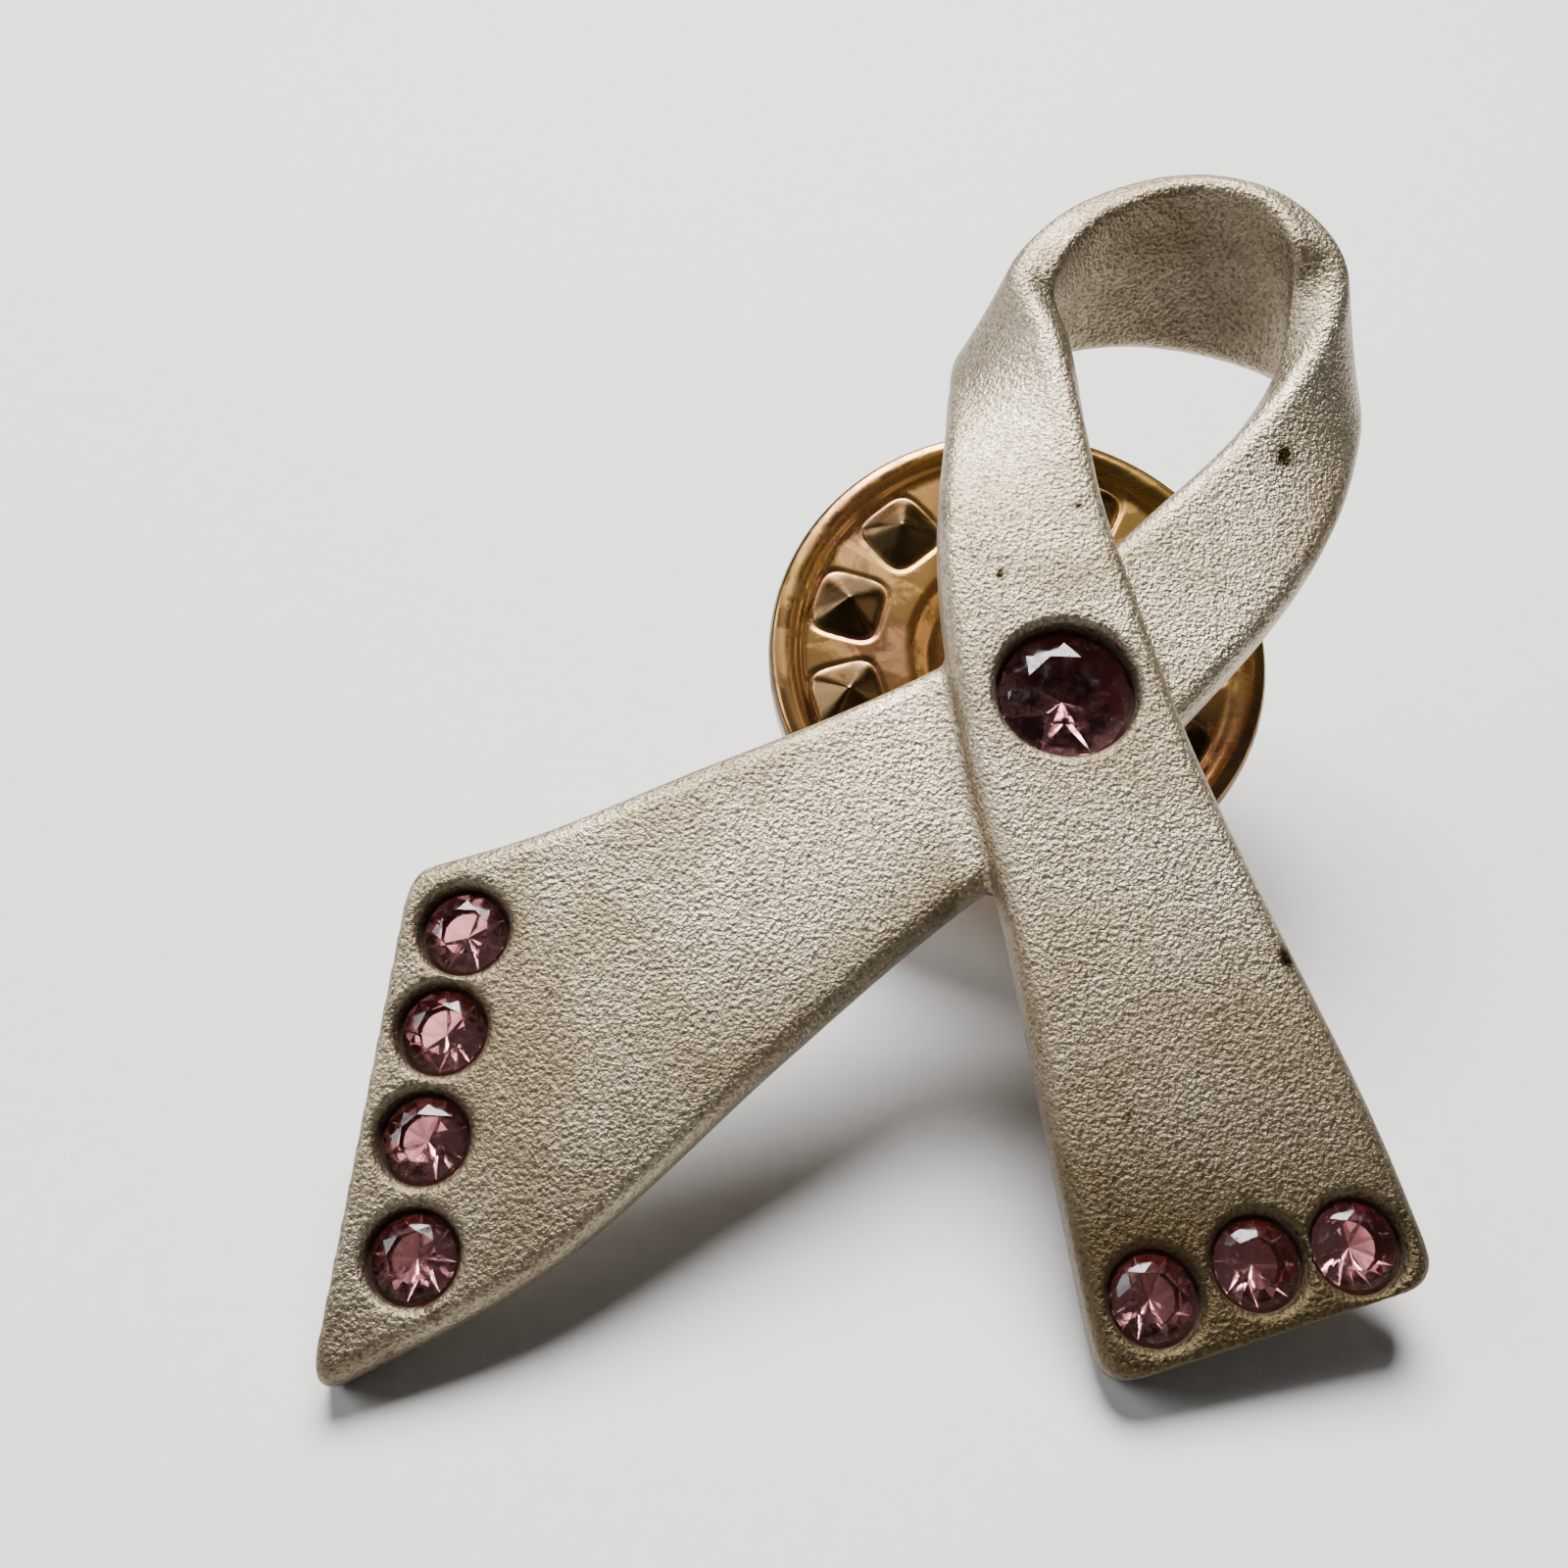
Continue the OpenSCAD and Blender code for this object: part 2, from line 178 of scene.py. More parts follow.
# ---------------------------------------------------------------- the cast ribbon
band = {
    # from the right tail's end over the loop to the left tail's end:
    # inner edge, outer edge, thickness, in mm
    "stations": [
        ((6.4, -14.2, 0), (0.2, -16.05, 0), 1.25),
        ((5.45, -11.1, 0), (-0.45, -11.9, 0), 1.25),
        ((4.1, -7.6, 0), (-1.05, -7.9, 0), 1.25),
        ((2.85, -4.2, 0), (-1.7, -4.5, 0), 1.25),
        ((1.95, -1, 0), (-2.1, -1.2, 0), 1.25),
        ((1.35, 1.5, 0), (-2.15, 1.3, -0.1), 1.25),
        ((0.95, 3.7, 0.05), (-2, 3.4, -0.7), 1.15),
        ((0.4, 5.7, 0.05), (-1.85, 5.1, -1.8), 1.05),
        ((-0.3, 7.4, -0.05), (-1.4, 6.6, -2.8), 1.15),
        ((0.9, 9.2, -0.4), (0.4, 7.7, -3.5), 1.05),
        ((2.8, 10.2, -0.65), (2.4, 8, -3.7), 1.05),
        ((4.6, 10.3, -0.65), (4.5, 7.7, -3.7), 1.05),
        ((6.2, 9.5, -0.4), (6.5, 6.9, -3.4), 1.15),
        ((7.15, 7.9, -0.2), (7.65, 5.8, -2.8), 1.3),
        ((6.75, 6.2, -0.25), (7.8, 4.5, -2.1), 1.25),
        ((5.7, 4.8, -0.55), (7.35, 3, -1.5), 1.15),
        ((4.3, 3.35, -0.75), (6.5, 1.3, -1.1), 1.2),
        ((2.6, 1.8, -0.8), (5.2, -0.6, -0.9), 1.2),
        ((0.6, 0, -0.8), (3.2, -2.8, -0.8), 1.2),
        ((-1.6, -1.6, -0.7), (0.9, -5.1, -0.7), 1.2),
        ((-4.3, -3.05, -0.5), (-2.1, -7.3, -0.5), 1.2),
        ((-7.3, -4.45, -0.2), (-5.4, -10.2, -0.2), 1.25),
        ((-10.1, -5.75, 0), (-9.5, -13.9, 0), 1.25),
        ((-12.6, -6.55, 0), (-13.7, -16.2, 0), 1.25),
    ],
    "loopTop": 11,          # station where the two strands are joined
    "ringsPerStation": 12,
    "frontRound": 0.42,
    "backRound": 0.28,
    "cornerRound": 0.6,
    "bossRadius": 1.4,
    "bossTo": 2.05,
    "voxel": 0.075,
    "softening": 5,
}
stones = {
    "centre": {"at": [(0.3, -2.8)], "radius": 1.34, "depth": 1.35, "open": False},
    "left": {"at": [(-11.5, -7.8), (-11.8, -9.7), (-12, -11.7), (-12.05, -13.8)],
             "radius": 0.77, "depth": 1, "open": True},
    "right": {"at": [(1.2, -14.5), (3.1, -13.9), (4.9, -13.6)],
              "radius": 0.77, "depth": 1, "open": True},
}
seatGap = 0.09
rimDish = 0.16          # how far the soft rim of a seat spreads


def bandOutline(width, thick, inset):
    pts = []
    front, back = band["frontRound"], band["backRound"]
    corners = ((width - inset - front, -front, front, 0), (inset + front, -front, front, 90),
               (inset + back, back - thick, back, 180), (width - inset - back, back - thick, back, 270))
    for x, y, r, start in corners:
        for k in range(7):
            a = math.radians(start + 15 * k)
            pts.append((x + r * math.cos(a), y + r * math.sin(a)))
    return pts


def bandRing(s, inset, swell=1.0):
    inner = [np.array(q[0], float) for q in band["stations"]]
    outer = [np.array(q[1], float) for q in band["stations"]]
    thick = [np.array([q[2]], float) for q in band["stations"]]
    last = len(inner) - 1
    p = splineAt(outer, s)
    across = splineAt(inner, s) - p
    width = np.linalg.norm(across)
    x = across / width
    ahead, behind = min(s + 0.05, last), max(s - 0.05, 0)
    run = (splineAt(inner, ahead) + splineAt(outer, ahead)) - (splineAt(inner, behind) + splineAt(outer, behind))
    z = np.cross(x, run)
    z /= np.linalg.norm(z)
    ring = np.array([p + a * x + b * z for a, b in bandOutline(width, splineAt(thick, s)[0], inset)])
    middle = ring.mean(0)
    return middle + (ring - middle) * swell


def sweptStrand(name, rings):
    n = len(rings[0])
    verts = np.concatenate(rings)
    faces = [tuple(range(n))[::-1], tuple(range((len(rings) - 1) * n, len(rings) * n))]
    for i in range(len(rings) - 1):
        for j in range(n):
            k = (j + 1) % n
            faces.append((i * n + j, i * n + k, (i + 1) * n + k, (i + 1) * n + j))
    return makeObject(name, verts, faces)


def cornerRings(end, inward):
    span = 3.2 if end == 0 else 5.4         # mm from the end station to its neighbour
    r = band["cornerRound"]
    out = []
    for a in (90, 72, 54, 36, 18):
        turn = math.radians(a)
        out.append(bandRing(end + inward * r * (1 - math.sin(turn)) / span, r * (1 - math.cos(turn))))
    return out


def seatCutter(r, depth, isOpen):
    wall = r + seatGap
    end = 3 if isOpen else depth + 0.01
    floor = 0.55 * r
    return lathe("seatCutter", [(0.001, -1), (wall + 0.5, -1), (wall + 0.5, -0.14), (wall + rimDish, -0.02),
                                (wall + rimDish * 0.4, 0.05), (wall, 0.16), (wall, 0.62 * depth),
                                (floor, depth), (floor, end), (0.001, end)], 64)


def castRibbon():
    per = band["ringsPerStation"]
    top = band["loopTop"]
    last = len(band["stations"]) - 1
    lead = cornerRings(0, 1)
    front = lead + [bandRing(i / per, 0) for i in range(3, (top * per) + 5)]
    back = [bandRing(top - 0.12, 0, 0.9)] + [bandRing(i / per, 0) for i in range(top * per, last * per - 1)]
    back += cornerRings(last, -1)[::-1]
    ribbon = sweptStrand("castRibbon", front)
    strand = sweptStrand("backStrand", back)
    boss = lathe("boss", [(0.001, 0.8), (band["bossRadius"], 0.8), (band["bossRadius"], band["bossTo"]),
                          (0.001, band["bossTo"])], 64)
    joinInto(ribbon, [strand, boss])
    modify(ribbon, "REMESH", mode="VOXEL", voxel_size=band["voxel"], use_smooth_shade=True)
    modify(ribbon, "SMOOTH", factor=0.5, iterations=band["softening"])
    bakeModifiers(ribbon)
    print("ribbon cast:", len(ribbon.data.vertices), "points")
    cutters = []
    for row in stones.values():
        for u, v in row["at"]:
            cutter = seatCutter(row["radius"], row["depth"], row["open"])
            cutter.data.transform(Matrix.Translation((u, v, 0)))
            cutters.append(cutter)
    joinInto(cutters[0], cutters[1:])
    modify(ribbon, "BOOLEAN", operation="DIFFERENCE", object=cutters[0], solver="MANIFOLD")
    modify(ribbon, "REMESH", mode="VOXEL", voxel_size=band["voxel"], use_smooth_shade=True)
    modify(ribbon, "SMOOTH", factor=0.5, iterations=2)
    bakeModifiers(ribbon)
    bpy.data.objects.remove(cutters[0])
    layInPlace(ribbon)
    print("seats cut:", len(ribbon.data.vertices), "points")
    return ribbon


# ---------------------------------------------------------------- stones
cut = {
    "fold": 8,              # mains round the stone
    "tableShare": 0.6,
    "starShare": 0.82,
    "tableAt": 0.14,
    "starAt": 0.22,
    "girdleAt": 0.32,
    "girdleHigh": 0.05,
    "lowerShare": 0.32,
    "lowerAt": 0.72,
    "culetAt": 0.93,
}


def cutStone(name, at, r, depth, turn):
    n = cut["fold"]
    rings = []

    def addRing(count, share, level, offset):
        first = len(verts)
        for k in range(count):
            a = turn + 2 * math.pi * (k + offset) / count
            verts.append((at[0] + share * r * math.cos(a), at[1] + share * r * math.sin(a), -level * depth))
        rings.append(first)
        return first

    verts, faces, foil = [], [], []
    table = addRing(n, cut["tableShare"], cut["tableAt"], 0)
    star = addRing(n, cut["starShare"], cut["starAt"], 0.5)
    girdle = addRing(2 * n, 1, cut["girdleAt"], 0)
    lower = addRing(2 * n, 1, cut["girdleAt"] + cut["girdleHigh"], 0)
    mains = addRing(n, cut["lowerShare"], cut["lowerAt"], 0.5)
    culet = len(verts)
    verts.append((at[0], at[1], -cut["culetAt"] * depth))
    faces.append([table + k for k in range(n)])
    for k in range(n):
        nxt, prev = (k + 1) % n, (k - 1) % n
        mid, after = (2 * k + 1) % (2 * n), (2 * k + 2) % (2 * n)
        faces.append([table + k, star + k, table + nxt])
        faces.append([table + k, star + prev, girdle + 2 * k, star + k])
        faces.append([star + k, girdle + 2 * k, girdle + mid])
        faces.append([star + k, girdle + mid, girdle + after])
    for k in range(2 * n):
        nxt = (k + 1) % (2 * n)
        faces.append([girdle + k, lower + k, lower + nxt, girdle + nxt])
    foilFrom = len(faces)
    for k in range(n):
        prev = (k - 1) % n
        mid, after = (2 * k + 1) % (2 * n), (2 * k + 2) % (2 * n)
        faces.append([culet, mains + prev, lower + 2 * k, mains + k])
        faces.append([mains + k, lower + 2 * k, lower + mid])
        faces.append([mains + k, lower + mid, lower + after])
    stone = makeObject(name, verts, faces, smooth=False)
    for i, polygon in enumerate(stone.data.polygons):
        polygon.material_index = 1 if i >= foilFrom else 0
    layInPlace(stone)
    return stone


# ---------------------------------------------------------------- hardware
post = {"radius": 0.5, "padRadius": 1.2, "padFrom": 2.05, "padTo": 2.4, "grooveAt": 7.2, "grooveTo": 7.75,
        "grooveRadius": 0.34, "shoulder": 8.7, "tip": 9.58}
disc = {"radius": 5.75, "at": 4.3, "sheet": 0.3, "web": 0.3, "hub": 0.6, "hole": 0.89, "points": 11,
        "firstPoint": 130, "pointAt": 4.05, "pointHalf": 0.74, "pointHigh": 0.5, "segments": 528}
jaws = {"pivotU": 2.6, "pivotD": 5.7, "bead": 0.28, "lip": 0.54, "wide": 3.2, "sheet": 0.3, "end": 10.0,
        "reach": 4.3, "tongueAt": (6.65, 7.45), "tongueWide": 2.2, "tongueEnd": 1.25, "slot": (0.25, 0.4),
        "root": (2.8, 3.02), "slotRadius": 0.56}


def tackPost():
    p = post
    outline = [(0.0005, p["padFrom"]), (p["padRadius"], p["padFrom"]), (p["padRadius"], p["padTo"]),
               (p["radius"] + 0.12, p["padTo"]), (p["radius"], p["padTo"] + 0.14), (p["radius"], p["grooveAt"]),
               (p["grooveRadius"], p["grooveAt"] + 0.06), (p["grooveRadius"], p["grooveTo"] - 0.06),
               (p["radius"], p["grooveTo"]), (p["radius"], p["shoulder"]), (0.1, p["tip"] - 0.06),
               (0.0005, p["tip"])]
    rounded = [outline[0]] + roundedPath(outline, 0.07)[5:-5] + [outline[-1]]
    obj = lathe("nailPost", rounded, 96)
    layInPlace(obj)
    return obj


def eyelet():
    bore = post["radius"] + 0.06
    hub = disc["at"] + disc["hub"]
    base = hub + disc["sheet"]
    back = base + jaws["sheet"] + 0.05
    outline = [(bore, hub - 0.28), (1.3, hub - 0.28), (1.3, hub - 0.05), (0.85, hub - 0.05), (0.85, back),
               (1.15, back), (1.15, back + 0.2), (bore, back + 0.2)]
    obj = lathe("hollowRivet", roundedPath(outline, 0.08), 96)
    layInPlace(obj)
    return obj


def pressedDisc():
    d = disc
    # front of the sheet from the hole out over the rim: radius and depth
    front = [(d["hole"], d["hub"]), (1.95, d["hub"]), (2.5, d["web"]), (4.95, d["web"]), (5.15, 0.1),
             (5.4, 0.0), (5.66, 0.05), (d["radius"], 0.25), (d["radius"], 0.93)]
    back = [(d["radius"] - 0.27, 0.93), (5.47, 0.42), (5.32, 0.36), (5.12, d["web"] + d["sheet"]),
            (2.5, d["web"] + d["sheet"]), (1.95, d["hub"] + d["sheet"]), (d["hole"], d["hub"] + d["sheet"])]
    soft = roundedPath(front + back, 0.16, 5)
    ring = []
    for i, (r, z) in enumerate(soft):                    # close rings where the points are pressed
        r2, z2 = soft[(i + 1) % len(soft)]
        steps = max(1, int(math.hypot(r2 - r, z2 - z) / 0.06))
        ring += [(r + (r2 - r) * k / steps, z + (z2 - z) * k / steps) for k in range(steps)]
    obj = lathe("pressedDisc", [(r, d["at"] + z) for r, z in ring], d["segments"])
    co = np.empty(len(obj.data.vertices) * 3)
    obj.data.vertices.foreach_get("co", co)
    co = co.reshape(-1, 3)
    radius = np.hypot(co[:, 0], co[:, 1])
    angle = np.arctan2(co[:, 1], co[:, 0])
    pitch = 2 * math.pi / d["points"]
    off = (angle - math.radians(d["firstPoint"]) + pitch / 2) % pitch - pitch / 2
    along = np.abs(radius * np.cos(off) - d["pointAt"]) / d["pointHalf"]
    aside = np.abs(radius * np.sin(off)) / d["pointHalf"]
    square = (along ** 4 + aside ** 4) ** 0.25           # rounded square pyramid
    lift = np.clip(1 - square, 0, 1)
    dent = 0.045 * np.exp(-((square - 1.09) / 0.07) ** 2)    # the sheet sinks a little round each point
    web = (radius > 2.6) & (radius < 5.1)
    co[:, 2] += np.where(web, d["pointHigh"] * (np.sqrt(lift ** 2 + 0.004) - math.sqrt(0.004)) - dent, 0)
    obj.data.vertices.foreach_set("co", co.ravel())
    obj.data.update()
    # painted shade and dark reflection on the pressed points; the rim's outer edge is darkened too
    shade = np.where(web, np.clip((1.04 - square) / 0.08, 0, 1) * 0.88, 0)
    shade = np.maximum(shade, np.clip((radius - d["radius"] + 0.14) / 0.1, 0, 1) * 0.95)
    layer = obj.data.attributes.new("shade", "FLOAT", "POINT")
    layer.data.foreach_set("value", shade.astype(np.float32))
    layInPlace(obj)
    return obj


def box(name, low, high):
    corners = [(x, y, z) for x in (low[0], high[0]) for y in (low[1], high[1]) for z in (low[2], high[2])]
    faces = [(0, 1, 3, 2), (4, 6, 7, 5), (0, 4, 5, 1), (2, 3, 7, 6), (0, 2, 6, 4), (1, 5, 7, 3)]
    return makeObject(name, corners, faces)


def across(name, u, d, r, wide):
    # a round rod along v
    obj = lathe(name, [(0.001, -wide / 2), (r, -wide / 2), (r, wide / 2), (0.001, wide / 2)], 48)
    obj.data.transform(Matrix.Translation((u, 0, -d)) @ Matrix.Rotation(math.radians(90), 4, "X"))
    return obj


def subtract(obj, cutters):
    for cutter in cutters:
        modify(obj, "BOOLEAN", operation="DIFFERENCE", object=cutter, solver="MANIFOLD")
    bakeModifiers(obj)
    for cutter in cutters:
        bpy.data.objects.remove(cutter)


def unite(obj, others):
    for other in others:
        modify(obj, "BOOLEAN", operation="UNION", object=other, solver="MANIFOLD")
    bakeModifiers(obj)
    for other in others:
        bpy.data.objects.remove(other)


def softenSheet(obj, voxel=0.045):
    modify(obj, "REMESH", mode="VOXEL", voxel_size=voxel, use_smooth_shade=True)
    modify(obj, "SMOOTH", factor=0.5, iterations=2)
    bakeModifiers(obj)


def jawBase():
    j = jaws
    base = disc["at"] + disc["hub"] + disc["sheet"]
    half = j["wide"] / 2
    reach = j["pivotU"] - j["bead"]
    plate = box("springBase", (-reach - 0.1, -half, -base - j["sheet"]), (reach + 0.1, half, -base - 0.005))
    unite(plate, [across("lip", side * j["pivotU"], j["pivotD"], j["lip"], j["wide"]) for side in (-1, 1)])
    cutters = [across("lipBore", side * j["pivotU"], j["pivotD"], j["bead"] + 0.04, j["wide"] + 1)
               for side in (-1, 1)]
    cutters += [box("lipMouth", (side * j["pivotU"] - 1, -half - 1, -j["pivotD"] - 1.1),
                    (side * j["pivotU"] + 1, half + 1, -j["pivotD"])) for side in (-1, 1)]
    cutters.append(lathe("hole", [(0.001, base - 1), (disc["hole"], base - 1), (disc["hole"], base + 1),
                                  (0.001, base + 1)], 64))
    cutters.append(box("above", (-8, -8, -base), (8, 8, 0)))
    subtract(plate, cutters)
    softenSheet(plate)
    layInPlace(plate)
    return plate


def bentStrip(name, path, halfWide, thick):
    # a sheet bent along a smooth path in the u-d plane, halfWide(t) wide at share t of its length
    pts = [np.array(p, float) for p in path]
    steps = 48
    rows = [splineAt(pts, (len(pts) - 1) * k / steps) for k in range(steps + 1)]
    verts, faces = [], []
    columns = 16
    for k, p in enumerate(rows):
        d = rows[min(k + 1, steps)] - rows[max(k - 1, 0)]
        d /= np.linalg.norm(d)
        h = np.array((-d[1], d[0])) * thick / 2
        w = halfWide(k / steps)
        for side in (1, -1):
            q = p + side * h
            for c in range(columns + 1):
                verts.append((q[0], w * (2 * c / columns - 1), -q[1]))
    row = 2 * (columns + 1)
    loop = list(range(columns + 1)) + list(range(2 * columns + 1, columns, -1))
    for k in range(steps):
        for i in range(len(loop)):
            a, b = loop[i], loop[(i + 1) % len(loop)]
            faces.append((k * row + a, k * row + b, (k + 1) * row + b, (k + 1) * row + a))
    faces.append(loop)
    faces.append([steps * row + i for i in loop][::-1])
    return makeObject(name, verts, faces)


def wingPiece(name, level, side):
    j = jaws
    tip = j["end"]
    path = [(j["pivotU"], j["pivotD"]), (j["pivotU"] + 0.12, j["pivotD"] + 0.8),
            (j["pivotU"] + 0.45, j["pivotD"] + 1.9), (j["reach"] - 0.45, tip - 0.85),
            (j["reach"] - j["sheet"] / 2 - 0.03, tip)]
    half = j["wide"] / 2
    cornerR = 0.95
    endLong = 5.0                                        # mm along the blade

    def halfWide(t):
        left = (1 - t) * endLong
        waist = 0.16 * math.exp(-((t - 0.32) / 0.14) ** 2)
        if left >= cornerR:
            return half - waist
        return half - cornerR + math.sqrt(max(cornerR ** 2 - (cornerR - left) ** 2, 0.0004))

    wing = bentStrip(name, path, halfWide, j["sheet"])
    at = j["tongueAt"][level]
    tongue = box("tongue", (-j["tongueEnd"], -j["tongueWide"] / 2, -at - j["sheet"] / 2),
                 (j["root"][level], j["tongueWide"] / 2, -at + j["sheet"] / 2))
    unite(wing, [across("bead", j["pivotU"], j["pivotD"], j["bead"], j["wide"] - 0.1), tongue])
    slotCutters = []
    for u in (0, j["slot"][level]):
        hole = lathe("hole", [(0.001, at - 1), (j["slotRadius"], at - 1), (j["slotRadius"], at + 1),
                              (0.001, at + 1)], 64)
        hole.data.transform(Matrix.Translation((u, 0, 0)))
        slotCutters.append(hole)
    slotCutters.append(box("slot", (0, -j["slotRadius"], -at - 1), (j["slot"][level], j["slotRadius"], -at + 1)))
    subtract(wing, slotCutters)
    softenSheet(wing)
    if side < 0:
        wing.data.transform(Matrix.Scale(-1, 4, (1, 0, 0)))
        wing.data.flip_normals()
    layInPlace(wing)
    return wing


# ---------------------------------------------------------------- shader node helpers
def node(tree, kind, at=(0, 0), **values):
    made = tree.nodes.new(kind)
    made.location = at
    for key, value in values.items():
        if key in made.inputs:
            made.inputs[key].default_value = value
        else:
            setattr(made, key, value)
    return made


def newGroup(name, inputs, outputs):
    tree = bpy.data.node_groups.new(name, "ShaderNodeTree")
    for label, kind, value in inputs:
        socket = tree.interface.new_socket(name=label, in_out="INPUT", socket_type=kind)
        if value is not None:
            socket.default_value = value
    for label, kind in outputs:
        tree.interface.new_socket(name=label, in_out="OUTPUT", socket_type=kind)
    return tree, tree.nodes.new("NodeGroupInput"), tree.nodes.new("NodeGroupOutput")


def useGroup(tree, group, at=(0, 0), **values):
    made = tree.nodes.new("ShaderNodeGroup")
    made.node_tree = group
    made.location = at
    for key, value in values.items():
        made.inputs[key].default_value = value
    return made


def mathNode(tree, operation, a, b=None, clamp=False):
    made = tree.nodes.new("ShaderNodeMath")
    made.operation = operation
    made.use_clamp = clamp
    for i, value in enumerate((a, b)):
        if value is None:
            continue
        if isinstance(value, (int, float)):
            made.inputs[i].default_value = value
        else:
            tree.links.new(value, made.inputs[i])
    return made.outputs[0]


def mixColor(tree, factor, a, b, blend="MIX"):
    made = tree.nodes.new("ShaderNodeMix")
    made.data_type = "RGBA"
    made.blend_type = blend
    for socket, value in ((made.inputs[0], factor), (made.inputs[6], a), (made.inputs[7], b)):
        if isinstance(value, (int, float, tuple)):
            socket.default_value = value
        else:
            tree.links.new(value, socket)
    return made.outputs[2]


def ramp(tree, value, stops):
    made = tree.nodes.new("ShaderNodeValToRGB")
    elements = made.color_ramp.elements
    while len(elements) < len(stops):
        elements.new(0.5)
    for element, (position, color) in zip(elements, stops):
        element.position = position
        element.color = color if len(color) == 4 else (*color, 1)
    tree.links.new(value, made.inputs[0])
    return made.outputs[0]


def grey(value):
    return (value, value, value, 1)


def blastGrainGroup():
    # sandblasted grain: fine pits, a coarser orange peel, and a mask for colour variation
    tree, inp, out = newGroup("blastGrain",
                              [("Grain Size", "NodeSocketFloat", 9000.0), ("Depth", "NodeSocketFloat", 0.00002),
                               ("Strength", "NodeSocketFloat", 0.7)],
                              [("Normal", "NodeSocketVector"), ("Grain", "NodeSocketFloat")])
    coord = node(tree, "ShaderNodeTexCoord")
    fine = node(tree, "ShaderNodeTexNoise", Detail=2.0, Roughness=0.55, Distortion=0.35)
    coarse = node(tree, "ShaderNodeTexVoronoi", feature="SMOOTH_F1")
    tree.links.new(coord.outputs["Object"], fine.inputs["Vector"])
    tree.links.new(coord.outputs["Object"], coarse.inputs["Vector"])
    tree.links.new(inp.outputs["Grain Size"], fine.inputs["Scale"])
    tree.links.new(mathNode(tree, "MULTIPLY", inp.outputs["Grain Size"], 0.8), coarse.inputs["Scale"])
    height = mathNode(tree, "ADD", mathNode(tree, "MULTIPLY", fine.outputs[0], 0.75),
                      mathNode(tree, "MULTIPLY", coarse.outputs["Distance"], 0.35))
    bump = node(tree, "ShaderNodeBump")
    tree.links.new(inp.outputs["Strength"], bump.inputs["Strength"])
    tree.links.new(inp.outputs["Depth"], bump.inputs["Distance"])
    tree.links.new(height, bump.inputs["Height"])
    tree.links.new(bump.outputs[0], out.inputs["Normal"])
    tree.links.new(height, out.inputs["Grain"])
    return tree


def tarnishGroup():
    # cloudy patches of tarnish, with their own edge break-up
    tree, inp, out = newGroup("tarnish",
                              [("Patch Size", "NodeSocketFloat", 160.0), ("Amount", "NodeSocketFloat", 0.5),
                               ("Softness", "NodeSocketFloat", 0.25)],
                              [("Mask", "NodeSocketFloat")])
    coord = node(tree, "ShaderNodeTexCoord")
    cloud = node(tree, "ShaderNodeTexNoise", Detail=7.0, Roughness=0.62, Distortion=0.6)
    tree.links.new(coord.outputs["Object"], cloud.inputs["Vector"])
    tree.links.new(inp.outputs["Patch Size"], cloud.inputs["Scale"])
    low = mathNode(tree, "SUBTRACT", 1.0, inp.outputs["Amount"])
    raised = mathNode(tree, "SUBTRACT", cloud.outputs[0], mathNode(tree, "SUBTRACT", low, 0.0))
    shaped = mathNode(tree, "DIVIDE", mathNode(tree, "ADD", raised, inp.outputs["Softness"]),
                      mathNode(tree, "MULTIPLY", inp.outputs["Softness"], 2.0), clamp=True)
    tree.links.new(shaped, out.inputs["Mask"])
    return tree


def edgeWearGroup():
    # convex edges rub bright, hollows are darkened
    tree, inp, out = newGroup("edgeWear",
                              [("Edge From", "NodeSocketFloat", 0.52), ("Edge To", "NodeSocketFloat", 0.6),
                               ("Hollow From", "NodeSocketFloat", 0.49), ("Hollow To", "NodeSocketFloat", 0.42)],
                              [("Edge", "NodeSocketFloat"), ("Hollow", "NodeSocketFloat")])
    geometry = node(tree, "ShaderNodeNewGeometry")
    for label, start, end in (("Edge", "Edge From", "Edge To"), ("Hollow", "Hollow From", "Hollow To")):
        remap = node(tree, "ShaderNodeMapRange")
        tree.links.new(geometry.outputs["Pointiness"], remap.inputs["Value"])
        tree.links.new(inp.outputs[start], remap.inputs["From Min"])
        tree.links.new(inp.outputs[end], remap.inputs["From Max"])
        tree.links.new(remap.outputs[0], out.inputs[label])
    return tree


groups = {"grain": blastGrainGroup(), "tarnish": tarnishGroup(), "wear": edgeWearGroup()}


def newMaterial(name, **principled):
    material = bpy.data.materials.new(name)
    material.use_nodes = True
    tree = material.node_tree
    shader = tree.nodes["Principled BSDF"]
    for key, value in principled.items():
        shader.inputs[key.replace("_", " ")].default_value = value
    return material, tree, shader


def attribute(tree, name):
    made = node(tree, "ShaderNodeAttribute", attribute_name=name)
    return made.outputs["Fac"]


castLook = {
    "bright": (0.63, 0.54, 0.405, 1),
    "dull": (0.31, 0.245, 0.155, 1),
    # brown: tarnish speckles, pit halos and darkened hollows, and also the colour of the painted shade
    "brownStainAndShade": (0.075, 0.052, 0.022, 1),
    "spot": (0.02, 0.011, 0.005, 1),
    "smoothEdge": (0.30, 0.265, 0.21, 1),
}


